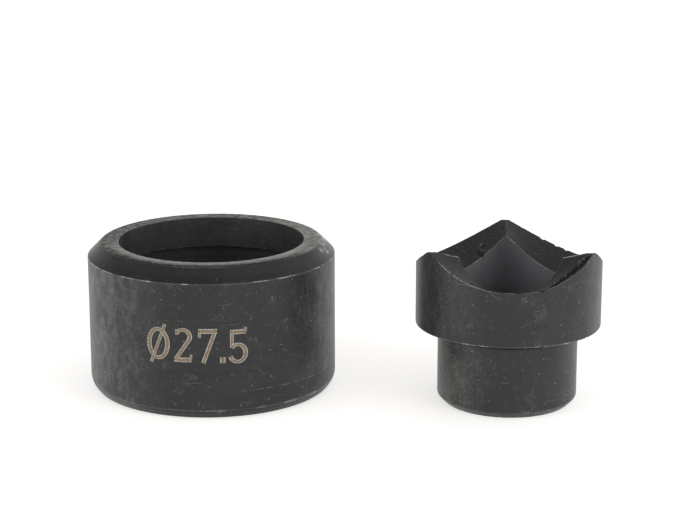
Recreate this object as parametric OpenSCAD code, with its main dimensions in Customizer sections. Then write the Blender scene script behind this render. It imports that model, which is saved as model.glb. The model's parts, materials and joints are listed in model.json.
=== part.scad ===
// Cutting pair of a knockout punch: a hollow die and a punch with three cutting cusps.
// The two loose pieces stand side by side, the die on the left and the punch on the
// right and a little forward. In use a draw stud passes up through the die's base,
// through a hole in the sheet and into the thread of the upturned punch.

/* [Hole] */
// Diameter of the hole that the pair cuts, which is the diameter of the punch head
hole_d = 27.5; // [22.5:0.5:40]
// Gap between the punch head and the die's cutting bore, on each side
cut_clearance = 0.25; // [0.1:0.05:0.6]

/* [Draw stud] */
// Nominal diameter of the draw stud's thread
stud_d = 16; // [10:0.5:17]
// Pitch of the draw stud's thread
stud_pitch = 1.5; // [1:0.25:2]
// Gap round the stud where it only passes through, on each side
stud_clearance = 0.75; // [0.3:0.05:1]

/* [Die] */
// Height of the die
die_h = 22.5; // [16:0.5:32]
// Wall of the die at the cutting bore
die_wall = 4.7; // [3.5:0.1:8]
// Height of the cutting land inside the mouth
land_h = 4.75; // [2:0.25:6]
// Depth of the relief below the cutting land, on each side
relief = 1; // [0.4:0.1:2]
// Thickness of the die's base
die_floor = 6; // [4:0.5:8]
// Radius in the corner between the relief and the base
floor_fillet = 1.5; // [0.5:0.25:2.5]
// Width and height of the bevel round the cutting face
top_bevel = 2.05; // [0.5:0.05:3]
// Width of the bevel round the foot of the die
foot_bevel_w = 1; // [0.3:0.1:2]
// Height of the bevel round the foot of the die
foot_bevel_h = 1.3; // [0.3:0.1:3]
// Bevel at both ends of the stud hole
stud_hole_bevel = 0.6; // [0.2:0.1:1]

/* [Punch] */
// Diameter of the shank
shank_d = 20.8; // [20.4:0.1:22]
// Height of the shank, which holds the thread
shank_h = 11.9; // [8:0.1:20]
// Bevel round the foot of the shank
shank_bevel = 1; // [0.2:0.1:1.4]
// Height of the head from the shank to the tips of the cusps
head_h = 12.25; // [9:0.05:18]
// Bevel round the lower edge of the head
head_bevel = 0.2; // [0.1:0.05:0.5]

/* [Cusps] */
// Number of cutting cusps
cusp_count = 3; // [2:1:5]
// Depth of the valleys below the tips
valley_depth = 4.05; // [2:0.05:6]
// Height taken off each tip to blunt it
tip_blunt = 0.35; // [0.05:0.05:0.5]
// Hollow of the flanks: 1 gives a half sine from tip to valley, and more draws the flanks in
flank_hollow = 1.2; // [1:0.05:2]
// Slope of the end faces in the valleys, down towards the axis, in degrees
face_rake = 21; // [5:0.5:25]
// Slope of the ridges from the tips, down towards the axis, in degrees
ridge_rake = 17.5; // [5:0.5:25]
// Turn of the cusps about the punch's axis, in degrees
cusp_turn = -1.5; // [-60:0.5:60]

/* [Layout] */
// Clear width between the die and the punch head
pair_gap = 12.05; // [4:0.05:40]
// Distance that the punch stands forward of the die
punch_forward = 8.25; // [-10:0.25:20]

/* [Hidden] */
$fn = 96;

black_oxide = [0.23, 0.23, 0.24];
// A cut runs this far past the face that it opens
past = 1;

// Radii that both pieces share
punch_r = hole_d / 2;
bore_r = punch_r + cut_clearance;
pass_r = stud_d / 2 + stud_clearance;
// Basic profile of a metric thread: the minor diameter is 1.0825 pitches under the nominal
thread_minor_r = (stud_d - 1.0825 * stud_pitch) / 2;

// Die
die_r = bore_r + die_wall;
relief_r = bore_r + relief;
land_z = die_h - land_h;

// Punch
shank_r = shank_d / 2;
punch_h = shank_h + head_h;
lead_in = pass_r - thread_minor_r;
thread_mouth = stud_d / 2 - thread_minor_r + 0.2;

// Cusps
facets_per_side = 15;
cusp_steps = 2 * facets_per_side * cusp_count;
cusp_rise = valley_depth + tip_blunt;
valley_z = punch_h - valley_depth;

// Centres of the two pieces, with the pair's outline centred on the origin
pair_pitch = die_r + pair_gap + punch_r;
back_y = max(die_r, punch_r - punch_forward);
front_y = min(-die_r, -punch_r - punch_forward);
die_x = -(pair_pitch + punch_r - die_r) / 2;
die_y = -(back_y + front_y) / 2;
punch_x = die_x + pair_pitch;
punch_y = die_y - punch_forward;

// Points of a quarter circle from angle a0, about the point c
function quarter(c, r, a0, n = 8) =
    [for (i = [0:n]) c + r * [cos(a0 + 90 * i / n), sin(a0 + 90 * i / n)]];

// Share of a cusp's height at a degrees round from it, down into the valley
function share(a) = pow(1 - abs(sin(a * cusp_count / 2)), flank_hollow);
// Slope of an end face along the radius, a degrees round from a cusp
function slope(a) = tan(face_rake) + (tan(ridge_rake) - tan(face_rake)) * share(a);
// Height of an end face at radius r, a degrees round from a cusp
function face_z(r, a) = valley_z + cusp_rise * share(a) - (punch_r - r) * slope(a);

// Ring that cuts the end faces: four corners at each step round the axis
module cusp_cutter() {
    r_in = pass_r / 2;
    r_out = punch_r + past;
    z_top = punch_h + cusp_rise + past;
    points = [for (i = [0:cusp_steps - 1])
        let (a = 360 * i / cusp_steps, u = [cos(a), sin(a)])
        each [[r_in * u[0], r_in * u[1], face_z(r_in, a)],
              [r_out * u[0], r_out * u[1], face_z(r_out, a)],
              [r_out * u[0], r_out * u[1], z_top],
              [r_in * u[0], r_in * u[1], z_top]]];
    faces = [for (i = [0:cusp_steps - 1], k = [0:3])
        let (a = 4 * i, b = 4 * ((i + 1) % cusp_steps), n = (k + 1) % 4)
        each [[a + k, a + n, b + k], [b + k, a + n, b + n]]];
    polyhedron(points, faces);
}

module die() {
    outside = [[0, 0], [die_r - foot_bevel_w, 0], [die_r, foot_bevel_h], [die_r, die_h - top_bevel],
               [die_r - top_bevel, die_h], [0, die_h]];
    chamber = concat([[0, die_floor]],
                     quarter([relief_r - floor_fillet, die_floor + floor_fillet], floor_fillet, -90),
                     [[relief_r, land_z], [0, land_z]]);
    color(black_oxide)
    translate([die_x, die_y, 0])
    difference() {
        rotate_extrude() polygon(outside);
        rotate_extrude() polygon(chamber);
        translate([0, 0, land_z - past]) cylinder(r = bore_r, h = land_h + 2 * past);
        translate([0, 0, -past]) cylinder(r = pass_r, h = die_floor + 2 * past);
        translate([0, 0, -past])
            cylinder(r1 = pass_r + stud_hole_bevel + past, r2 = pass_r, h = stud_hole_bevel + past);
        translate([0, 0, die_floor - stud_hole_bevel])
            cylinder(r1 = pass_r, r2 = pass_r + stud_hole_bevel + past, h = stud_hole_bevel + past);
    }
}

module punch() {
    outside = [[0, 0], [shank_r - shank_bevel, 0], [shank_r, shank_bevel], [shank_r, shank_h],
               [punch_r - head_bevel, shank_h], [punch_r, shank_h + head_bevel],
               [punch_r, punch_h], [0, punch_h]];
    color(black_oxide)
    translate([punch_x, punch_y, 0])
    rotate(90 + cusp_turn)
    difference() {
        rotate_extrude() polygon(outside);
        translate([0, 0, shank_h]) cylinder(r = pass_r, h = head_h + past);
        translate([0, 0, shank_h - lead_in]) cylinder(r1 = thread_minor_r, r2 = pass_r, h = lead_in);
        translate([0, 0, -past]) cylinder(r = thread_minor_r, h = shank_h + past);
        translate([0, 0, -past])
            cylinder(r1 = thread_minor_r + thread_mouth + past, r2 = thread_minor_r, h = thread_mouth + past);
        cusp_cutter();
    }
}

die();
punch();
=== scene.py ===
# %% [markdown]
# # A knockout punch and its die
#
# These two loose steel pieces cut one round hole in sheet metal. The die is a thick ring with a
# hollow for the slug, and the punch is a head with three cusps on a smaller shank. Both are turned
# on a lathe and blackened, and use has worn their edges bright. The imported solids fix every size
# and place. This lesson turns finer meshes in the same places, and then gives them their finish.

# %% Load the frame
import json
import math
from collections import namedtuple

import bpy
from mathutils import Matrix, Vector, noise


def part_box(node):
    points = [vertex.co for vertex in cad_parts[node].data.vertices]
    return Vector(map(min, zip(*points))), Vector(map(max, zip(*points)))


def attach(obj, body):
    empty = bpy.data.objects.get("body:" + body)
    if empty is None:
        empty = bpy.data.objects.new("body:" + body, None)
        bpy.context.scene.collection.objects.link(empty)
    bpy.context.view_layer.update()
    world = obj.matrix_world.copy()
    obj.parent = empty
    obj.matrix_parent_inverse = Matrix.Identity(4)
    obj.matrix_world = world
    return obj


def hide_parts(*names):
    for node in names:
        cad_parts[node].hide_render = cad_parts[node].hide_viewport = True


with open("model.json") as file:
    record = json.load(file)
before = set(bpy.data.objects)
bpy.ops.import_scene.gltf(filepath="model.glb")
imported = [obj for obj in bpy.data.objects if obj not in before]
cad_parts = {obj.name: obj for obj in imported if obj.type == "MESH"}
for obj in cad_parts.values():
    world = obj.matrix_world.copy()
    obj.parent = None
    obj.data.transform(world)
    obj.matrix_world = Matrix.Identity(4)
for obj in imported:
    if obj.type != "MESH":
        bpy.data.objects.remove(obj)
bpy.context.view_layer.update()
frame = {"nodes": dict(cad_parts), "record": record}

# %% [markdown]
# ## Sizes
#
# The frame is in metres, and the sizes below are in millimetres, as a turner reads them. The
# outer sizes come from the boxes of the two solids and the bores from the record's mounts, so these
# follow the solids. What neither of them tells, such as a bevel, is written where it is first needed.

# %% Sizes from the frame
MM = 0.001
mounts = {mount["name"]: mount for mount in frame["record"]["mounts"]}


def middle(node):
    """Axis of a round node, as a point on the floor."""
    low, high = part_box(node)
    return Vector(((low.x + high.x) / 2, (low.y + high.y) / 2, 0))


def size(node):
    """Width and height of a node in millimetres."""
    low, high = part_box(node)
    return (high.x - low.x) / MM, (high.z - low.z) / MM


die_axis = middle("die")
die_w, die_h = size("die")
die_r = die_w / 2
bore_r = mounts["cutting_bore"]["dims"]["r_mm"]
land_h = mounts["cutting_bore"]["dims"]["length_mm"]
pass_r = mounts["stud_hole"]["dims"]["r_mm"]

punch_axis = middle("punch")
punch_w, punch_h = size("punch")
punch_r = punch_w / 2
thread_r = mounts["punch_thread"]["dims"]["r_mm"]
print(f"die {die_w:.2f} x {die_h:.2f} mm, punch {punch_w:.2f} x {punch_h:.2f} mm")

# %% [markdown]
# ## Camera
#
# The photograph looks down at the pair from a little above, with a long lens. How long can't be told
# from it: a longer lens from further away gives nearly the same picture. So a focal length was chosen,
# the viewing angle and the distance were fitted to the outlines of both pieces, and the sizes were
# tuned for that camera. The outlines of the render then meet those of the photograph to about one
# pixel on the die and three on the punch, which leans a little there. The camera is only pitched down.

# %% Camera
photo_w_px = 700
focal_px = 2001
pitch = math.radians(14.857)
distance = 304.2 * MM
aim = Vector((1.23, 1.65, 18.78)) * MM
look = Vector((0, math.cos(pitch), -math.sin(pitch)))

bpy.ops.object.select_all(action="DESELECT")
bpy.ops.object.camera_add(location=aim - distance * look, rotation=(math.pi / 2 - pitch, 0, 0))
camera = bpy.context.object
camera.data.sensor_width = 36
camera.data.lens = focal_px * camera.data.sensor_width / photo_w_px
camera.data.clip_start = 10 * MM
scene = bpy.context.scene
scene.camera = camera
scene.view_settings.view_transform = "Standard"
print(f"camera {camera.data.lens:.1f} mm lens at", [round(v, 4) for v in camera.location])

# %% [markdown]
# ## A short way to write nodes
#
# A finish is a tree of shader nodes. Added one by one, each node takes four or five lines, so a few
# helpers do the plain work: one adds a node and fills its sockets, and the others name what the
# node is for. Every helper gives back the socket that carries its result.

# %% Node helpers
def fill(tree, socket, value):
    """Links a socket to another one, or sets its value."""
    if isinstance(value, bpy.types.NodeSocket):
        tree.links.new(value, socket)
    else:
        socket.default_value = value


def add(tree, kind, sockets, **settings):
    """A new node with its settings made and the named or numbered sockets filled."""
    made = tree.nodes.new("ShaderNode" + kind)
    for name, value in settings.items():
        setattr(made, name, value)
    for key, value in sockets.items():
        fill(tree, made.inputs[key], value)
    return made


def calc(tree, operation, first, second=0.0):
    """Arithmetic on one or two numbers."""
    return add(tree, "Math", {0: first, 1: second}, operation=operation).outputs[0]


def between(tree, value, low, high):
    """A soft step from 0 at low to 1 at high."""
    sockets = {"Value": value, "From Min": low, "From Max": high}
    return add(tree, "MapRange", sockets, interpolation_type="SMOOTHSTEP").outputs[0]


def mix(tree, share, first, second):
    """From the first colour at share 0 to the second at share 1."""
    return add(tree, "Mix", {0: share, 6: first, 7: second}, data_type="RGBA").outputs[2]


def cloud(tree, where, spot, detail=3.0, rough=0.5):
    """Soft noise whose spots are about this many millimetres across."""
    sockets = {"Vector": where, "Scale": 1 / spot, "Detail": detail, "Roughness": rough}
    return add(tree, "TexNoise", sockets).outputs[0]


def stretch(tree, where, by):
    """Places pulled out along the axes whose factor is small."""
    return add(tree, "VectorMath", {0: where, 1: by}, operation="MULTIPLY").outputs[0]


def on_axis(tree, axis):
    """Places in millimetres from a piece's own axis and foot."""
    here = add(tree, "TexCoord", {}).outputs["Object"]
    sockets = {"Vector": here, "Location": -axis / MM, "Scale": (1 / MM, 1 / MM, 1 / MM)}
    return add(tree, "Mapping", sockets).outputs[0]


def heights(tree, where):
    """Height of a place above the foot."""
    return add(tree, "SeparateXYZ", {0: where}).outputs["Z"]


def radii(tree, where):
    """Distance of a place from the axis."""
    flat = stretch(tree, where, (1, 1, 0))
    return add(tree, "VectorMath", {0: flat}, operation="LENGTH").outputs["Value"]


print("helpers for", len(frame["nodes"]), "nodes")

# %% [markdown]
# ## Floor and light
#
# The pair stands on a plain white ground. The floor is a matt white sheet that also gives off a
# little light to the camera and to mirror-like rays, so it reads as white and the steel shows it,
# while the soft shadow under each piece stays. Dark steel shows what stands round it: its walls
# mirror the floor, and its bevels mirror the ceiling. So the world is bright low down and dims
# overhead, and two wide soft lamps stand at the sides.

# %% Floor
floor_size = 6.0
floor_drop = 0.02 * MM
bpy.ops.object.select_all(action="DESELECT")
bpy.ops.mesh.primitive_plane_add(size=floor_size, location=(0, 0, -floor_drop))
floor = bpy.context.object
floor.name = "floor"


def white_ground():
    """Matt white that also glows a little for the eye and in mirrors."""
    material = bpy.data.materials.new("white_ground")
    material.use_nodes = True
    tree = material.node_tree
    shader = tree.nodes["Principled BSDF"]
    shader.inputs["Base Color"].default_value = (0.86, 0.86, 0.86, 1)
    shader.inputs["Roughness"].default_value = 0.9
    shader.inputs["Specular IOR Level"].default_value = 0.0
    shader.inputs["Emission Color"].default_value = (1, 0.985, 0.96, 1)
    path = add(tree, "LightPath", {}).outputs
    seen = calc(tree, "MAXIMUM", path["Is Camera Ray"], path["Is Glossy Ray"])
    seen = calc(tree, "MAXIMUM", seen, path["Is Transmission Ray"])
    fill(tree, shader.inputs["Emission Strength"], calc(tree, "MULTIPLY", seen, 0.6))
    return material


floor.data.materials.append(white_ground())
print("floor", floor_size, "m wide")

# %% World and lamps
world = bpy.data.worlds.new("studio")
scene.world = world
world.use_nodes = True
sky = world.node_tree
way = add(sky, "SeparateXYZ", {0: add(sky, "TexCoord", {}).outputs["Generated"]}).outputs
behind = between(sky, way["Y"], -0.95, 0.5)
overhead = between(sky, way["Z"], 0.22, 0.50)
tint = mix(sky, behind, (0.96, 0.95, 0.94, 1), (0.90, 0.88, 0.86, 1))
tint = mix(sky, overhead, tint, (0.52, 0.52, 0.53, 1))
right = between(sky, way["X"], -0.9, 0.9)
level = calc(sky, "ADD", calc(sky, "MULTIPLY", right, 0.65), 0.62)
seen = add(sky, "LightPath", {}).outputs["Is Camera Ray"]
backdrop = sky.nodes["Background"].inputs
fill(sky, backdrop["Color"], mix(sky, seen, tint, (1, 1, 1, 1)))
fill(sky, backdrop["Strength"], add(sky, "Mix", {0: seen, 2: level, 3: 1.0}).outputs[0])


def lamp(name, turn_deg, rise_deg, width, watts):
    """A square soft lamp that faces the pair, turned from the front to the right and raised."""
    turned, raised = math.radians(turn_deg), math.radians(rise_deg)
    flat = math.cos(raised)
    place = Vector((flat * math.sin(turned), -flat * math.cos(turned), math.sin(raised))) * lamp_far
    bpy.ops.object.light_add(type="AREA", location=place)
    made = bpy.context.object
    made.name = name
    made.data.size = width
    made.data.energy = watts
    made.rotation_euler = (aim - place).to_track_quat("-Z", "Y").to_euler()
    return made


lamp_far = 0.7
lamp("lamp_left", -62, 12, 0.5, 1.5)
lamp("lamp_right", 50, 15, 0.4, 1.0)
print("lamps and world made")

# %% [markdown]
# ## Turning
#
# On a lathe a piece is the outline that the tool follows, turned about an axis. It is the same
# here: the outline is drawn as corners, and each corner is rounded a little, because no real edge is
# sharp. A bare circle gives the loop of points, which are moved onto the outline, and a Screw
# modifier with no rise turns it. The Spin operator would do too, but it slows down with every step.
# Each ring of the outline also carries two notes that travel with it: how worn the edge is, and
# which finish the surface after it has.

# %% Outlines
Corner = namedtuple("Corner", "r z round wear finish")
Ring = namedtuple("Ring", "r z wear finish")
wear_reach = 0.06


def outline(corners):
    """Rings of a closed outline: each corner is an arc, with two unworn rings on either side."""
    rings = []
    for before, corner, after in zip(corners[-1:] + corners, corners, corners[1:] + corners[:1]):
        here = Vector((corner.r, corner.z))
        back = (Vector((before.r, before.z)) - here).normalized()
        on = (Vector((after.r, after.z)) - here).normalized()
        near = corner.round + wear_reach
        far = near + 2 * wear_reach
        rings.append(Ring(*(here + back * far), 0, before.finish))
        rings.append(Ring(*(here + back * near), 0, before.finish))
        parts, narrow = (10, 5) if corner.round > 0.25 else (3, 1)
        for t in [part / parts for part in range(parts + 1)]:
            at = here + corner.round * (back * (1 - t) ** 2 + on * t ** 2)
            finish = before.finish if t < 0.5 else corner.finish
            rings.append(Ring(*at, corner.wear * max(0, 1 - narrow * abs(t - 0.5)), finish))
        rings.append(Ring(*(here + on * near), 0, corner.finish))
        rings.append(Ring(*(here + on * far), 0, corner.finish))
    return rings


def divide(rings, finish, parts):
    """Splits the long stretch of one finish into equal parts."""
    spans = [math.dist(a[:2], b[:2]) if a.finish == finish else 0 for a, b in zip(rings, rings[1:])]
    first = spans.index(max(spans))
    start, end = Vector(rings[first][:2]), Vector(rings[first + 1][:2])
    extra = [Ring(*start.lerp(end, part / parts), 0, finish) for part in range(1, parts)]
    return rings[:first + 1] + extra + rings[first + 1:]


# %% Turn an outline
turn_steps = 720


def take(piece):
    """Makes a piece the only one selected."""
    bpy.ops.object.select_all(action="DESELECT")
    piece.select_set(True)
    bpy.context.view_layer.objects.active = piece


def shaped(name, points):
    """Names a primitive that was just added, and moves its corners to points in millimetres."""
    made = bpy.context.object
    made.name = name
    made.data.name = name
    for vertex, point in zip(made.data.vertices, points):
        vertex.co = Vector(point) * MM
    return made


def loop(name, axis, points):
    """A closed outline that stands on an axis: a bare circle with a corner for each point."""
    bpy.ops.object.select_all(action="DESELECT")
    bpy.ops.mesh.primitive_circle_add(vertices=len(points), fill_type="NOTHING", calc_uvs=False,
                                      location=axis)
    return shaped(name, points)


def turn(name, axis, rings):
    """A closed mesh turned from an outline, with its wear and its ring numbers as attributes."""
    piece = loop(name, axis, [(ring.r, 0, ring.z) for ring in rings])
    mesh = piece.data
    count = len(rings)
    mesh.attributes.new("ring", "INT", "POINT").data.foreach_set("value", range(count))
    mesh.attributes.new("wear", "FLOAT", "POINT").data.foreach_set("value", [r.wear for r in rings])
    lathe = piece.modifiers.new("lathe", "SCREW")
    lathe.steps = turn_steps
    lathe.render_steps = turn_steps
    lathe.use_merge_vertices = True
    lathe.merge_threshold = 0.001 * MM
    bpy.ops.object.modifier_apply(modifier="lathe")
    bpy.ops.object.transform_apply(location=True)
    bpy.ops.object.mode_set(mode="EDIT")
    bpy.ops.mesh.select_all(action="SELECT")
    bpy.ops.mesh.normals_make_consistent(inside=False)
    bpy.ops.object.mode_set(mode="OBJECT")
    print(name, len(mesh.vertices), "points in", count, "rings")
    return piece


def dress(piece, rings, node, axis, looks):
    """Gives each face the finish of the ring that it starts from."""
    names = list(looks)
    for name in names:
        piece.data.materials.append(black_oxide(node + "_" + name, axis, looks[name]))
    number = [item.value for item in piece.data.attributes["ring"].data]
    last = len(rings) - 1
    for face in piece.data.polygons:
        spots = {number[v] for v in face.vertices}
        ring = last if spots == {0, last} else min(spots)
        face.material_index = names.index(rings[ring].finish)
    take(piece)
    bpy.ops.object.shade_smooth_by_angle(angle=math.radians(40))


def nick(piece, spot, depth):
    """Knocks small nicks into the worn edges."""
    worn = [item.value for item in piece.data.attributes["wear"].data]
    outward = [vertex.normal.copy() for vertex in piece.data.vertices]
    for vertex, wear, normal in zip(piece.data.vertices, worn, outward):
        dent = max(0.0, noise.noise(vertex.co / (spot * MM)) - 0.1)
        vertex.co -= normal * wear * dent * depth * MM


# %% [markdown]
# ## Black oxide
#
# Blackened steel is a thin dark skin on bare metal. It mirrors weakly, is a little cloudy from oil
# and handling, and wherever something rubs it the grey steel shows. One function makes all the
# blackened finishes of both pieces, because they differ only in shade, gloss and marks: clouds,
# tool rings, fine scratches at any slant or nearly level, specks, and bright worn edges. Some
# of it is painted light: sheen on the sides of round pieces, shade under the punch's head and in
# the gouges, and a dark reflection in the middle of the punch's bore.

# %% Marks on steel
def unrolled(tree, where):
    """A round wall laid out flat: millimetres round from its front, and height."""
    parts = add(tree, "SeparateXYZ", {0: where}).outputs
    angle = calc(tree, "ARCTAN2", parts["X"], calc(tree, "MULTIPLY", parts["Y"], -1.0))
    along = calc(tree, "MULTIPLY", angle, radii(tree, where))
    return add(tree, "CombineXYZ", {"X": along, "Y": parts["Z"]}).outputs[0]


def from_above(tree, where):
    """An end face laid out flat."""
    return stretch(tree, where, (1, 1, 0))


def net(tree, lay, apart):
    """A net of random cells, with three random numbers for each cell."""
    cells = add(tree, "TexVoronoi", {"Vector": lay, "Scale": 1 / apart}, voronoi_dimensions="2D").outputs
    return cells, add(tree, "SeparateColor", {0: cells["Color"]}).outputs


def scratches(tree, lay, apart, length, width, share, swing):
    """Straight scratches, one in each chosen cell of a net, turned at random by up to a swing."""
    cells, chance = net(tree, lay, apart)
    offset = add(tree, "VectorMath", {0: lay, 1: cells["Position"]}, operation="SUBTRACT").outputs[0]
    angle = calc(tree, "MULTIPLY", calc(tree, "SUBTRACT", chance[0], 0.5), swing)
    turned = add(tree, "VectorRotate", {"Vector": offset, "Angle": angle}, rotation_type="Z_AXIS")
    parts = add(tree, "SeparateXYZ", {0: turned.outputs[0]}).outputs
    thin = between(tree, calc(tree, "ABSOLUTE", parts["Y"]), width / 2, width / 5)
    reach = calc(tree, "MULTIPLY", chance[2], length / 2)
    short = between(tree, calc(tree, "DIVIDE", calc(tree, "ABSOLUTE", parts["X"]), reach), 1.0, 0.3)
    kept = between(tree, chance[1], 1 - share, 1.0)
    return calc(tree, "MULTIPLY", calc(tree, "MULTIPLY", thin, short), kept)


def specks(tree, lay, apart, spot, share):
    """Small round marks of many sizes, most of them left out at random."""
    cells, chance = net(tree, lay, apart)
    reach = calc(tree, "MULTIPLY", chance[0], spot / apart)
    dot = between(tree, calc(tree, "DIVIDE", cells["Distance"], reach), 1.0, 0.4)
    return calc(tree, "MULTIPLY", dot, between(tree, chance[1], 1 - share, 1.0))


def tool_rings(tree, along, where, pitch):
    """Fine rings left by a turning tool, as noise along the outline."""
    far = calc(tree, "DIVIDE", along, pitch)
    spot = add(tree, "CombineXYZ", {"X": far}).outputs[0]
    drift = stretch(tree, where, (0.02, 0.02, 0.0))
    together = add(tree, "VectorMath", {0: spot, 1: drift}, operation="ADD").outputs[0]
    return cloud(tree, together, 1.0, 3.0, 0.7)


def sideways(tree, where):
    """How far a place is to the side: -1 at the left edge, 0 in the middle and 1 at the right edge."""
    across = add(tree, "SeparateXYZ", {0: where}).outputs["X"]
    return calc(tree, "DIVIDE", across, radii(tree, where))


def wipes_and_side_sheen(tree, where, left, right):
    """Pale wiped patches and streaks, heavier at the two sides and fading towards the front: partly real
    wipes and partly painted sheen where the sides of a round piece catch the light.
    """
    side = sideways(tree, where)
    zone = calc(tree, "ADD", calc(tree, "MULTIPLY", between(tree, side, -0.25, -0.9), left),
                calc(tree, "MULTIPLY", between(tree, side, 0.55, 0.97), right))
    wiped = between(tree, cloud(tree, stretch(tree, where, (1, 1, 0.6)), 2.2, 8.0, 0.75), 0.38, 0.68)
    streak = between(tree, cloud(tree, stretch(tree, where, (1, 1, 0.1)), 0.5, 4.0), 0.44, 0.68)
    dusty = between(tree, cloud(tree, where, 0.22, 3.0, 0.7), 0.28, 0.66)
    pale = calc(tree, "ADD", calc(tree, "MULTIPLY", wiped, 0.9), calc(tree, "MULTIPLY", streak, 0.2))
    return calc(tree, "MULTIPLY", zone, calc(tree, "MULTIPLY", pale, dusty))


def dashes(tree, where, lay):
    """Short level dashes of dust in the turning marks, denser towards both sides."""
    side = sideways(tree, where)
    edge = calc(tree, "ADD", between(tree, side, 0.1, -0.95),
                calc(tree, "MULTIPLY", between(tree, side, 0.2, 1.0), 0.6))
    fine = cloud(tree, stretch(tree, lay, (0.3, 1, 1)), 0.15, 4.0, 0.8)
    patchy = calc(tree, "MULTIPLY", cloud(tree, where, 2.0, 5.0, 0.6), 0.25)
    dense = calc(tree, "ADD", calc(tree, "ADD", fine, patchy), calc(tree, "MULTIPLY", edge, 0.08))
    return calc(tree, "MULTIPLY", between(tree, dense, 0.68, 0.86), edge)


def scuffs(tree, where):
    """Small rubbed patches with a broken, dusty border."""
    patch = between(tree, cloud(tree, where, 1.8, 5.0, 0.6), 0.55, 0.70)
    dusty = between(tree, cloud(tree, where, 0.2, 2.0, 0.6), 0.42, 0.62)
    return calc(tree, "MULTIPLY", patch, dusty)


# %% Layers of the finish
Look = namedtuple("Look", "shade rough end metal rings marks scuffs haze grit grain drawn cloudy sides"
                          " dust worn bump foot scribe corner lip gloss",
                  defaults=(False, 0.1, 0.3, 1.0, 0.5, (0, 0), 0.0, 0.5, 1.0, 1.0, 0.0,
                            0.0, 1.0, 0.35, False, 0, 0, (0, 0), 0.4))
bare_steel = (0.42, 0.41, 0.385, 1)
dust_beige = (0.205, 0.190, 0.155, 1)
rust_brown = (0.050, 0.036, 0.028, 1)
# Pale grey for wipes, scuffs and scribed lines, and for the painted sheen on the sides of round pieces.
mark_and_sheen_grey = (0.148, 0.146, 0.141, 1)
near_black = (0.004, 0.004, 0.004, 1)


def skin(tree, where, look, turned, grain):
    """Oxide with soft clouds, grain, tool rings and a tinge of brown, and how pale it is, with a painted
    dark reflection in the middle where asked.
    """
    dark = tuple((1 - 0.3 * look.cloudy) * v for v in look.shade) + (1,)
    pale = tuple((1 + 0.5 * look.cloudy) * v for v in look.shade) + (1,)
    tone = calc(tree, "ADD", calc(tree, "MULTIPLY", cloud(tree, where, 6.0, 8.0, 0.68), 0.6),
                calc(tree, "MULTIPLY", grain, 0.4))
    ringed = calc(tree, "MULTIPLY", calc(tree, "SUBTRACT", turned, 0.5), look.rings)
    colour = mix(tree, between(tree, calc(tree, "ADD", tone, ringed), 0.32, 0.70), dark, pale)
    tinge = calc(tree, "MULTIPLY", between(tree, cloud(tree, where, 2.5, 4.0), 0.58, 0.8), 0.4)
    colour = mix(tree, calc(tree, "MULTIPLY", tinge, look.cloudy), colour, rust_brown)
    # Painted reflection: darker where the surface faces front or back, standing in for a bore mirroring
    # its own dark far wall.
    if look.sides:
        painted_dark_middle = between(tree, calc(tree, "ABSOLUTE", sideways(tree, where)), 0.75, 0.0)
        colour = mix(tree, calc(tree, "MULTIPLY", painted_dark_middle, look.sides), colour, near_black)
    return colour, tone


def handled(tree, where, look, colour):
    """Pale wipes with painted sheen at the sides, scuffs and grit over the skin, and where the grit is."""
    colour = mix(tree, wipes_and_side_sheen(tree, where, *look.haze), colour, mark_and_sheen_grey)
    colour = mix(tree, calc(tree, "MULTIPLY", scuffs(tree, where), look.scuffs), colour, mark_and_sheen_grey)
    grains = cloud(tree, stretch(tree, where, (look.drawn, 1, 1)), look.grain, 5.0, 0.75)
    gritty = calc(tree, "MULTIPLY", between(tree, grains, 0.44, 0.60), look.grit)
    return mix(tree, gritty, colour, dust_beige), gritty


def scribed(tree, where, look, colour):
    """A broken line scribed round the right side above the foot, and a darker zone below it."""
    zone = between(tree, sideways(tree, where), 0.0, 0.55)
    up = calc(tree, "SUBTRACT", heights(tree, where), look.scribe)
    below = calc(tree, "MULTIPLY", calc(tree, "MULTIPLY", between(tree, up, 0.0, -0.2), 0.35), zone)
    colour = mix(tree, below, colour, near_black)
    thin = calc(tree, "MULTIPLY", between(tree, calc(tree, "ABSOLUTE", up), 0.12, 0.03), zone)
    broken = between(tree, cloud(tree, where, 0.8, 4.0, 0.7), 0.42, 0.60)
    return mix(tree, calc(tree, "MULTIPLY", thin, broken), colour, mark_and_sheen_grey)


def lipped(tree, where, look, colour):
    """The cutting face paler to the right and darker to the left, a bright band along its inner rim at the
    front, and how dark and dull it is nearest the front.
    """
    inner, outer = look.lip
    r = radii(tree, where)
    side = sideways(tree, where)
    colour = mix(tree, calc(tree, "MULTIPLY", between(tree, side, 0.4, 0.95), 0.2), colour, bare_steel)
    colour = mix(tree, calc(tree, "MULTIPLY", between(tree, side, -0.3, -0.95), 0.3), colour, near_black)
    ahead = calc(tree, "DIVIDE", add(tree, "SeparateXYZ", {0: where}).outputs["Y"], r)
    front = between(tree, ahead, 0.1, -0.7)
    bright = calc(tree, "MULTIPLY", between(tree, r, inner + 1.9, inner + 0.1), front)
    colour = mix(tree, calc(tree, "MULTIPLY", bright, 0.6), colour, bare_steel)
    nearest = between(tree, ahead, -0.3, -0.85)
    dull = calc(tree, "MULTIPLY", between(tree, r, inner + 1.2, outer), nearest)
    return mix(tree, dull, colour, near_black), dull


def footed(tree, where, colour):
    """Brown grime at the very foot."""
    low = between(tree, heights(tree, where), 0.9, 0.2)
    grime = tuple(0.4 * v for v in rust_brown[:3]) + (1,)
    return mix(tree, calc(tree, "MULTIPLY", low, 0.6), colour, grime)


def shade_under_head(tree, where, look, colour):
    """Painted shade: near-black in the corner under an overhang, standing in for the shadow the head casts
    on the shank.
    """
    near = between(tree, heights(tree, where), look.corner - 1.6, look.corner - 0.1)
    return mix(tree, calc(tree, "MULTIPLY", near, 0.9), colour, near_black)


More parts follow.
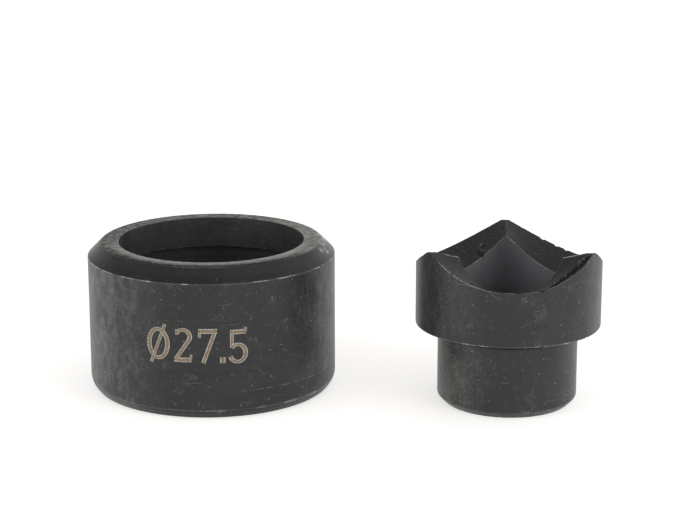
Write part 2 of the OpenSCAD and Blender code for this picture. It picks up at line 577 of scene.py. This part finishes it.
def marked(tree, where, lay, look, colour):
    """Scratches and specks, and where they are."""
    lines = calc(tree, "MAXIMUM", scratches(tree, lay, 1.3, 1.3, 0.10, 0.5, math.tau),
                 scratches(tree, lay, 4.0, 5.0, 0.09, 0.35, math.tau))
    lines = calc(tree, "MAXIMUM", lines, scratches(tree, lay, 3.0, 6.0, 0.10, 0.5, 0.3))
    lines = calc(tree, "MULTIPLY", lines, between(tree, cloud(tree, where, 5.0, 3.0), 0.38, 0.62))
    lines = calc(tree, "MAXIMUM", lines, specks(tree, lay, 1.0, 0.18, 0.4))
    colour = mix(tree, calc(tree, "MULTIPLY", lines, 0.35 * look.marks), colour, bare_steel)
    if look.dust:
        colour = mix(tree, calc(tree, "MULTIPLY", dashes(tree, where, lay), look.dust), colour, dust_beige)
    bright = calc(tree, "MULTIPLY", specks(tree, lay, 2.6, 0.17, 0.35), min(1, look.marks))
    return mix(tree, bright, colour, bare_steel), lines


def edged(tree, where, look, colour):
    """Bright steel on worn edges, in patches, and painted shade: black in the gouges, standing in for
    their shadow.
    """
    edge = add(tree, "Attribute", {}, attribute_name="wear").outputs["Fac"]
    often = between(tree, cloud(tree, where, 5.0, 3.0), 0.40, 0.60)
    broken = between(tree, cloud(tree, where, 0.6, 4.0, 0.75), 0.42, 0.60)
    some = calc(tree, "ADD", calc(tree, "MULTIPLY", calc(tree, "MULTIPLY", broken, often), 0.45), 0.12)
    bright = calc(tree, "MULTIPLY", between(tree, edge, 0.2, 0.8), some)
    polished = calc(tree, "MULTIPLY", between(tree, edge, 1.0, 1.7), calc(tree, "ADD", broken, 0.25))
    bright = calc(tree, "MULTIPLY", calc(tree, "ADD", bright, polished), look.worn)
    colour = mix(tree, bright, colour, bare_steel)
    # Painted shade: the deeper a gouge, the nearer to black.
    pit = add(tree, "Attribute", {}, attribute_name="pit").outputs["Fac"]
    return mix(tree, calc(tree, "MULTIPLY", between(tree, pit, 0.0, 0.15), 0.85), colour, near_black)


# %% Black oxide
def black_oxide(name, axis, look):
    """Blackened steel with a look."""
    material = bpy.data.materials.new(name)
    material.use_nodes = True
    tree = material.node_tree
    shader = tree.nodes["Principled BSDF"]
    where = on_axis(tree, axis)
    lay = from_above(tree, where) if look.end else unrolled(tree, where)
    along = radii(tree, where) if look.end else heights(tree, where)
    turned = tool_rings(tree, along, where, 0.25)
    grain = cloud(tree, where, 0.22, 2.0)

    colour, tone = skin(tree, where, look, turned, grain)
    colour, gritty = handled(tree, where, look, colour)
    if look.scribe:
        colour = scribed(tree, where, look, colour)
    dull = 0.0
    if look.lip[0]:
        colour, dull = lipped(tree, where, look, colour)
    if look.foot:
        colour = footed(tree, where, colour)
    if look.corner:
        colour = shade_under_head(tree, where, look, colour)
    colour, lines = marked(tree, where, lay, look, colour)
    fill(tree, shader.inputs["Base Color"], edged(tree, where, look, colour))

    rough = calc(tree, "MULTIPLY", calc(tree, "SUBTRACT", tone, 0.5), 0.25)
    rough = calc(tree, "SUBTRACT", rough, calc(tree, "MULTIPLY", gritty, 0.5))
    rough = calc(tree, "ADD", rough, calc(tree, "ADD", calc(tree, "MULTIPLY", dull, 0.4), look.rough))
    fill(tree, shader.inputs["Roughness"], rough)
    shader.inputs["Metallic"].default_value = look.metal
    shader.inputs["Specular IOR Level"].default_value = look.gloss
    height = calc(tree, "MULTIPLY", turned, look.rings)
    height = calc(tree, "ADD", height, calc(tree, "MULTIPLY", grain, 0.4))
    height = calc(tree, "SUBTRACT", height, calc(tree, "MULTIPLY", lines, 0.3 * look.marks))
    height = calc(tree, "ADD", height, gritty)
    bump = add(tree, "Bump", {"Strength": look.bump, "Distance": 0.02 * MM, "Height": height})
    fill(tree, shader.inputs["Normal"], bump.outputs[0])
    return material


# %% [markdown]
# ## Die
#
# The die is a ring with a closed foot. Its mouth is a short land, ground to size, which shears the
# sheet against the punch. Below the land the bore is a little wider, so that the slug falls free.
# The outside has a wide bevel at the top and a small steep one at the foot. The outline goes once
# round the section, from the hole in the foot outwards, up the wall and down the inside.

# %% Die outline
top_bevel = 2.05
foot_bevel_w = 1.0
foot_bevel_h = 1.3
relief_r = bore_r + 1.0
land_z = die_h - land_h
floor_z = 6.0
floor_round = 1.5
hole_bevel = 0.6

die_rings = outline([
    Corner(pass_r + hole_bevel, 0, 0.05, 0.3, "under"),
    Corner(die_r - foot_bevel_w, 0, 0.30, 0.4, "wall"),
    Corner(die_r, foot_bevel_h, 0.90, 0.6, "wall"),
    Corner(die_r, die_h - top_bevel, 0.08, 1.0, "bevel"),
    Corner(die_r - top_bevel, die_h, 0.35, 0.5, "ground"),
    Corner(bore_r, die_h, 0.06, 0.8, "land"),
    Corner(bore_r, land_z, 0.12, 0.3, "hollow"),
    Corner(relief_r, land_z, 0.10, 0, "hollow"),
    Corner(relief_r, floor_z, floor_round, 0, "hollow"),
    Corner(pass_r + hole_bevel, floor_z, 0.05, 0.3, "hollow"),
    Corner(pass_r, floor_z - hole_bevel, 0.05, 0.3, "hollow"),
    Corner(pass_r, hole_bevel, 0.05, 0.3, "wall"),
])
die_rings = divide(divide(die_rings, "ground", 8), "bevel", 8)
die = turn("die_ring", die_axis, die_rings)

# %% Die finish
def rub(piece, spot, reach, amount):
    """Wears a ragged patch round a spot, given in metres, as far as a reach in millimetres."""
    worn = piece.data.attributes["wear"].data
    for vertex, note in zip(piece.data.vertices, worn):
        near = 1 - (vertex.co - spot).length / (reach * MM)
        if near > 0:
            ragged = 0.6 + 1.6 * noise.noise(vertex.co / (0.3 * MM))
            note.value = max(note.value, amount * near * ragged)


def die_spot(angle_deg, r, z):
    """A place on the die."""
    angle = math.radians(angle_deg)
    return die_axis + Vector((r * math.cos(angle), r * math.sin(angle), z)) * MM


def polish(piece, spot, reach):
    """Rubs the worn edges bright round a spot."""
    worn = piece.data.attributes["wear"].data
    for vertex, note in zip(piece.data.vertices, worn):
        near = 1 - (vertex.co - spot).length / (reach * MM)
        if near > 0:
            note.value *= 1 + 1.2 * min(1.0, 2 * near)


ring_r = die_r - top_bevel
bevel_foot = die_h - top_bevel
nick_spot = 0.7
nick_depth = 0.12
ragged_spot = 0.8
ragged_depth = 0.22
ragged_reach = 0.4

# Knocks at the right of the cutting face: angle, distance out from its rim and reach
knocks = [(20, -0.2, 1.0), (14, -0.4, 1.0), (9, 0.0, 1.2), (5, 0.4, 1.0), (1, 0.1, 1.0),
          (-3, 0.7, 1.0), (-7, 0.2, 0.9), (-10, 1.0, 0.9), (-15, 0.6, 0.7)]
for angle_deg, out, reach in knocks:
    rub(die, die_spot(angle_deg, ring_r + out, die_h - max(0, out)), reach, 4.5)

# Bright places on three edges: angle and reach
bevel_edge = [(192, 2.4), (206, 2.6), (219, 2.0), (232, 1.6), (244, 0.9), (262, 0.6), (296, 1.6),
              (308, 1.4), (330, 1.0), (346, 1.6)]
mouth_edge = [(200, 2.0), (254, 4.0), (268, 5.0), (285, 5.0), (330, 3.0)]
foot_edge = [(276, 0.8), (296, 1.0), (312, 1.6), (326, 1.4), (342, 1.6)]
for edge, r, z in ((bevel_edge, die_r, bevel_foot), (mouth_edge, bore_r, die_h),
                   (foot_edge, die_r - 0.2, foot_bevel_h)):
    for angle_deg, reach in edge:
        polish(die, die_spot(angle_deg, r, z), reach)

nick(die, nick_spot, nick_depth)
for vertex in die.data.vertices:
    out = math.hypot(vertex.co.x - die_axis.x, vertex.co.y - die_axis.y) / MM
    if abs(out - bore_r) < ragged_reach and abs(vertex.co.z / MM - land_z) < ragged_reach:
        vertex.co.z += ragged_depth * noise.noise(vertex.co / (ragged_spot * MM)) * MM
# Each look's pair of pale side amounts is partly real wipes and partly painted sheen on the left and right
# sides.
die_looks = {
    "under": Look((0.022, 0.022, 0.023), 0.45, end=True, rings=0.6),
    "wall": Look((0.0205, 0.021, 0.022), 0.42, haze=(1.6, 1.0), scribe=4.2, foot=True),
    "bevel": Look((0.0165, 0.017, 0.018), 0.34, rings=1.0, marks=0.5, scuffs=0.1, bump=1.0),
    "ground": Look((0.022, 0.021, 0.020), 0.55, end=True, rings=0.2, marks=1.2, haze=(0.0, 1.7),
                   grit=0.75, grain=0.34, drawn=0.3, bump=0.6, lip=(bore_r, ring_r)),
    "land": Look((0.048, 0.048, 0.049), 0.38, rings=0.4, marks=0.4, scuffs=0.1, worn=0.8),
    "hollow": Look((0.036, 0.036, 0.037), 0.55, rings=0.25, marks=0.2, scuffs=0.2, worn=0.2),
}
dress(die, die_rings, "die", die_axis, die_looks)
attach(die, "die")
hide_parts("die")
print("die has", len(die.data.polygons), "faces")

# %% [markdown]
# ## Size mark
#
# The die carries the size of its hole in plain figures. They look etched: the black skin is gone
# there, and the metal is a pale tan. Each figure is drawn as a sign writer would do it, with a few
# strokes of a pen whose width changes on the way. Each stroke is a narrow grid that is pulled along
# the pen's path. The strokes are laid out flat, joined, given a little thickness and wrapped round
# the wall.

# %% Pen strokes
pen_step = 0.2


def line(*stops):
    """A straight run of the pen through stops of place, height and width."""
    path = [Vector(stops[0])]
    for start, end in zip(stops, stops[1:]):
        parts = math.ceil(math.dist(start[:2], end[:2]) / pen_step)
        path += [Vector(start).lerp(Vector(end), part / parts) for part in range(1, parts + 1)]
    return path


def bow(x, z, wide, high, start, end, thin, thick):
    """Part of an ellipse, thick where the pen goes up or down and thin where it goes across."""
    parts = math.ceil(abs(end - start) / 8)
    path = []
    for part in range(parts + 1):
        angle = math.radians(start + (end - start) * part / parts)
        width = thin + (thick - thin) * abs(math.cos(angle))
        path.append(Vector((x + wide * math.cos(angle), z + high * math.sin(angle), width)))
    return path


diameter = [bow(1.83, 2.46, 1.45, 2.15, 0, 360, 0.52, 0.70), line((0.63, -0.50, 0.48), (2.96, 5.43, 0.48))]
two = [bow(1.28, 3.80, 1.02, 1.05, 145, -30, 0.48, 0.66), line((0.40, 4.85, 0.46), (0.36, 4.05, 0.46)),
       line((2.14, 3.28, 0.60), (0.20, 0.45, 0.52)), line((-0.08, 0.32, 0.66), (2.45, 0.32, 0.66)),
       line((2.36, 0.20, 0.36), (2.46, 1.15, 0.32))]
seven = [line((0.05, 4.83, 0.70), (2.75, 4.83, 0.70)), line((0.28, 5.10, 0.48), (0.20, 3.85, 0.36)),
         line((2.50, 4.90, 0.58), (0.68, 0.05, 0.60))]
point = [line((0.36, 0.14, 0.78), (0.36, 1.06, 0.78))]
five = [bow(1.22, 1.60, 1.16, 1.30, 140, -160, 0.48, 0.68), line((0.38, 5.10, 0.54), (0.36, 2.45, 0.50)),
        line((0.15, 4.80, 0.68), (2.40, 4.80, 0.68)), line((2.30, 4.85, 0.50), (2.47, 5.42, 0.28)),
        line((0.28, 0.50, 0.45), (0.27, 1.05, 0.42))]
figures = [(-8.70, 8.91, diameter), (-4.36, 8.82, two), (-0.85, 8.66, seven), (2.30, 8.50, point),
           (3.65, 8.45, five)]
print("pen strokes:", sum(len(strokes) for x, z, strokes in figures))

# %% Size mark on the wall
mark_thick = 0.02


def ribbon(path, x, z):
    """The left border, the middle and the right border of a stroke, as flat points."""
    lanes = []
    for here, point in enumerate(path):
        ahead = path[min(here + 1, len(path) - 1)] - path[max(here - 1, 0)]
        square = Vector((-ahead.y, ahead.x)).normalized() * point.z / 2
        for side in (-1, 0, 1):
            lanes.append((x + point.x + side * square.x, 0, z + point.y + side * square.y))
    return lanes


def stroke(path, x, z):
    """A strip of a stroke: a grid with three points across, the outer two noted as its border."""
    bpy.ops.object.select_all(action="DESELECT")
    bpy.ops.mesh.primitive_grid_add(x_subdivisions=2, y_subdivisions=len(path) - 1, calc_uvs=False,
                                    location=(0, 0, 0))
    made = shaped("size_mark", ribbon(path, x, z))
    border = [abs(point % 3 - 1) for point in range(3 * len(path))]
    made.data.attributes.new("border", "FLOAT", "POINT").data.foreach_set("value", border)
    return made


strips = [stroke(path, x, z) for x, z, strokes in figures for path in strokes]
mark = strips[0]
take(mark)
for strip in strips:
    strip.select_set(True)
bpy.ops.object.join()
mesh = mark.data
sheet = mark.modifiers.new("sheet", "SOLIDIFY")
sheet.thickness = mark_thick * MM
sheet.offset = 0
bpy.ops.object.modifier_apply(modifier="sheet")
for vertex in mesh.vertices:
    angle = vertex.co.x / (die_r * MM)
    r = die_r * MM - vertex.co.y
    vertex.co = die_axis + Vector((r * math.sin(angle), -r * math.cos(angle), vertex.co.z))
bpy.ops.object.mode_set(mode="EDIT")
bpy.ops.mesh.select_all(action="SELECT")
bpy.ops.mesh.remove_doubles(threshold=0.002 * MM)
bpy.ops.mesh.normals_make_consistent(inside=False)
bpy.ops.object.mode_set(mode="OBJECT")
print("size mark has", len(mesh.polygons), "faces")


# %% Etched finish
def etched(name, axis):
    """Steel where the black skin is gone: brown inside a stroke and pale at its borders."""
    material = bpy.data.materials.new(name)
    material.use_nodes = True
    tree = material.node_tree
    shader = tree.nodes["Principled BSDF"]
    where = on_axis(tree, axis)
    border = add(tree, "Attribute", {}, attribute_name="border").outputs["Fac"]
    spots = calc(tree, "MULTIPLY", calc(tree, "SUBTRACT", cloud(tree, where, 0.25, 3.0, 0.7), 0.5), 2.4)
    pale = between(tree, calc(tree, "ADD", border, spots), 0.4, 1.0)
    colour = mix(tree, pale, (0.245, 0.185, 0.125, 1), (0.57, 0.54, 0.465, 1))
    fill(tree, shader.inputs["Base Color"], colour)
    shader.inputs["Roughness"].default_value = 0.55
    shader.inputs["Specular IOR Level"].default_value = 0.3
    return material


mark.data.materials.append(etched("etched_mark", die_axis))
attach(mark, "die")

# %% [markdown]
# ## Punch
#
# The punch is turned first: a shank, a wider head, and a hole right through. Then three cusps are
# milled on the head, so that the cut starts at three points and runs round from each of them. The
# same order works here. The outline is drawn as it is at the lowest point of a valley, and once it
# is turned, every point of the rim is lifted by a hollowed half sine that peaks at each cusp. The
# lift grows a little towards the axis, because the ridges fall less steeply than the valleys.

# %% Punch outline
shank_r = 10.4
shank_h = 11.9
shank_bevel = 1.0
thread_top_r = 8.0
valley_depth = 4.05
tip_blunt = 0.35
valley_slope = math.tan(math.radians(21))
ridge_slope = math.tan(math.radians(17.5))
valley_z = punch_h - valley_depth
inner_z = valley_z - (punch_r - pass_r) * valley_slope

punch_rings = outline([
    Corner(thread_top_r + 0.2, 0, 0.05, 0.3, "under"),
    Corner(shank_r - shank_bevel, 0, 0.08, 0.7, "wall"),
    Corner(shank_r, shank_bevel, 0.30, 0.6, "shank"),
    Corner(shank_r, shank_h, 0.15, 0, "under"),
    Corner(punch_r, shank_h, 0.20, 1.0, "wall"),
    Corner(punch_r, valley_z, 0.06, 0.9, "milled"),
    Corner(pass_r, inner_z, 0.06, 0.8, "bored"),
    Corner(pass_r, shank_h, 0.05, 0, "bored"),
    Corner(thread_top_r, shank_h - (pass_r - thread_top_r), 0.05, 0, "bored"),
])
punch_rings = divide(divide(punch_rings, "milled", 24), "shank", 12)
# The top of the shank gets a darker, less glossy finish: painted shade under the head's overhang.
punch_rings = [ring._replace(finish="oiled") if ring.finish == "shank" and ring.z > shank_h - 1.2 else ring
               for ring in punch_rings]
punch = turn("punch_body", punch_axis, punch_rings)

# %% Cusps
cusp_count = 3
cusp_turn = math.radians(88.5)
cusp_rise = valley_depth + tip_blunt
rim_from = inner_z - 1.0
flank_hollow = 1.2


def around(point, axis):
    """Angle of a point about an axis."""
    return math.atan2(point.y - axis.y, point.x - axis.x)


worn = punch.data.attributes["wear"].data
number = punch.data.attributes["ring"].data
for vertex in punch.data.vertices:
    if vertex.co.z > rim_from * MM:
        swing = abs(math.sin((around(vertex.co, punch_axis) - cusp_turn) * cusp_count / 2))
        inward = punch_r - math.dist(vertex.co.xy, punch_axis.xy) / MM
        lift = (cusp_rise + inward * (valley_slope - ridge_slope)) * (1 - swing) ** flank_hollow
        vertex.co.z = min(vertex.co.z + lift * MM, punch_h * MM)
        ridge = swing < 0.02 and vertex.co.y < punch_axis.y
        if ridge and punch_rings[number[vertex.index].value].finish == "milled":
            worn[vertex.index].value = 0.9
punch.data.update()
print("cusps rise", cusp_rise, "mm over the valleys")

# %% Gouges
# Angle, radius, half length round the axis, half width and depth of each gouge in the end faces
gouges = [(287, 13.3, 1.0, 0.5, 0.3), (294, 12.5, 1.5, 0.7, 0.4), (302, 12.1, 1.7, 0.9, 0.5),
          (309, 12.0, 1.5, 0.9, 0.5), (315, 12.5, 1.6, 0.8, 0.5), (321, 13.0, 1.3, 0.6, 0.4),
          (112, 9.6, 0.5, 0.9, 0.4), (108, 10.6, 0.4, 0.6, 0.3), (238, 11.2, 0.8, 0.4, 0.3),
          (91, 11.2, 0.4, 0.3, 0.2), (64, 13.7, 0.3, 0.2, 0.15), (54, 13.7, 0.4, 0.2, 0.15),
          (46, 13.7, 0.3, 0.2, 0.15), (262, 8.9, 0.8, 0.3, 0.3), (272, 13.6, 0.7, 0.2, 0.15)]


def gouge_depth(point):
    """Depth of the deepest gouge at a point of the end faces, and how near its border is."""
    angle = math.degrees(around(point, punch_axis))
    r = math.hypot(point.x - punch_axis.x, point.y - punch_axis.y) / MM
    ragged = 1.1 * noise.noise(point / (0.7 * MM)) + 0.6 * noise.noise(point / (0.25 * MM))
    deepest, border = 0.0, 0.0
    for at, at_r, long, wide, depth in gouges:
        round_mm = math.radians((angle - at + 180) % 360 - 180) * at_r
        out = (round_mm / long) ** 2 + ((r - at_r) / wide) ** 2 + ragged
        deepest = max(deepest, depth * min(1.0, 2.0 * (1 - out)))
        border = max(border, 1 - abs(out - 1.1) / 0.35)
    return deepest, border


pits = punch.data.attributes.new("pit", "FLOAT", "POINT").data
worn = punch.data.attributes["wear"].data
number = punch.data.attributes["ring"].data
for vertex in punch.data.vertices:
    if vertex.co.z > rim_from * MM:
        deep, border = gouge_depth(vertex.co)
        vertex.co.z -= deep * MM
        if punch_rings[number[vertex.index].value].finish == "milled":
            pits[vertex.index].value = deep
            worn[vertex.index].value = max(worn[vertex.index].value, 0.8 * border)
punch.data.update()
print("gouges:", len(gouges))

# %% Punch finish
def punch_spot(angle_deg, r, z):
    """A place on the punch."""
    angle = math.radians(angle_deg)
    return punch_axis + Vector((r * math.cos(angle), r * math.sin(angle), z)) * MM


# The left front edge of the end faces is worn in a narrow band
band_from, band_to, band_w = 212, 264, 0.3
for vertex, note in zip(punch.data.vertices, worn):
    angle_deg = math.degrees(around(vertex.co, punch_axis)) % 360
    inward = punch_r - math.dist(vertex.co.xy, punch_axis.xy) / MM
    in_band = band_from < angle_deg < band_to and inward < band_w
    if in_band and note.value == 0 and vertex.co.z > rim_from * MM:
        if punch_rings[number[vertex.index].value].finish == "milled":
            note.value = max(0.0, 0.5 + 1.5 * noise.noise(vertex.co / (0.5 * MM)))
polish(punch, punch_spot(228, 13.7, 21.6), 3.5)
polish(punch, punch_spot(246, 13.7, 20.3), 2.5)
polish(punch, punch_spot(208.5, 10.0, 22.6), 2.0)
polish(punch, punch_spot(328.5, 10.0, 22.6), 1.6)
polish(punch, punch_spot(82, 8.75, 21.8), 1.5)
for angle_deg, reach in ((240, 1.0), (252, 0.7), (304, 0.8)):
    polish(punch, punch_spot(angle_deg, punch_r, shank_h), reach)
for angle_deg, reach in ((225, 0.8), (240, 0.6), (283, 0.8), (300, 0.9)):
    polish(punch, punch_spot(angle_deg, shank_r, shank_bevel), reach)
nick(punch, nick_spot, nick_depth)
# Each look's pair of pale side amounts is partly real wipes and partly painted sheen on the left and right
# sides.
punch_looks = {
    "under": Look((0.022, 0.022, 0.023), 0.45, end=True, rings=0.6),
    "wall": Look((0.025, 0.025, 0.026), 0.40, haze=(0.5, 0.7), dust=0.3, cloudy=0.6),
    "shank": Look((0.025, 0.025, 0.026), 0.40, marks=1.5, haze=(0.7, 0.2), dust=0.9, cloudy=0.7, foot=True,
                  corner=shank_h),
    # Painted shade: the top of the shank under the head is darker and less glossy.
    "oiled": Look((0.010, 0.010, 0.010), 0.55, haze=(0.3, 0.1), dust=0.3, gloss=0.05),
    "milled": Look((0.012, 0.012, 0.0125), 0.6, end=True, marks=0.6, scuffs=0.1, grit=0.12, grain=0.25,
                   bump=1.0),
    # Painted reflection: the bore is darkened in its middle, at the front and back.
    "bored": Look((0.260, 0.268, 0.282), 0.34, metal=0.35, marks=0.15, scuffs=0.0, rings=0.1,
                  cloudy=0.3, sides=0.6),
}
dress(punch, punch_rings, "punch", punch_axis, punch_looks)
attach(punch, "punch")
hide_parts("punch")
print("punch has", len(punch.data.polygons), "faces")

# %% [markdown]
# ## Thread
#
# The draw stud screws into the shank. A tap cuts the real thread: its ridge is what stays between
# the turns of the groove. Here the bore is turned as wide as the groove, and the ridge is a piece of
# its own. A Screw modifier carries the ridge's section round the axis and up by one pitch a turn.

# %% Thread in the shank
stud_pitch = 1.5
thread_turns = 5
thread_start = 2.0
root_half = 0.62
crest_half = 0.15
sunk = 0.05

section = [(thread_top_r + sunk, -root_half), (thread_r, -crest_half), (thread_r, crest_half),
           (thread_top_r + sunk, root_half)]
ridge = loop("thread_ridge", punch_axis, [(r, 0, thread_start + z) for r, z in section])
mesh = ridge.data
tap = ridge.modifiers.new("tap", "SCREW")
tap.screw_offset = stud_pitch * MM
tap.iterations = thread_turns
tap.steps = 96
tap.render_steps = 96
bpy.ops.object.modifier_apply(modifier="tap")
bpy.ops.object.transform_apply(location=True)
bpy.ops.object.mode_set(mode="EDIT")
bpy.ops.mesh.select_all(action="SELECT")
bpy.ops.mesh.fill_holes(sides=4)
bpy.ops.mesh.select_all(action="SELECT")
bpy.ops.mesh.normals_make_consistent(inside=False)
bpy.ops.object.mode_set(mode="OBJECT")
bpy.ops.object.shade_smooth_by_angle(angle=math.radians(30))
thread_look = Look((0.030, 0.030, 0.031), 0.45, marks=0.2)
mesh.materials.append(black_oxide("punch_thread", punch_axis, thread_look))
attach(ridge, "punch")
print("thread has", len(mesh.polygons), "faces over", thread_turns, "turns")
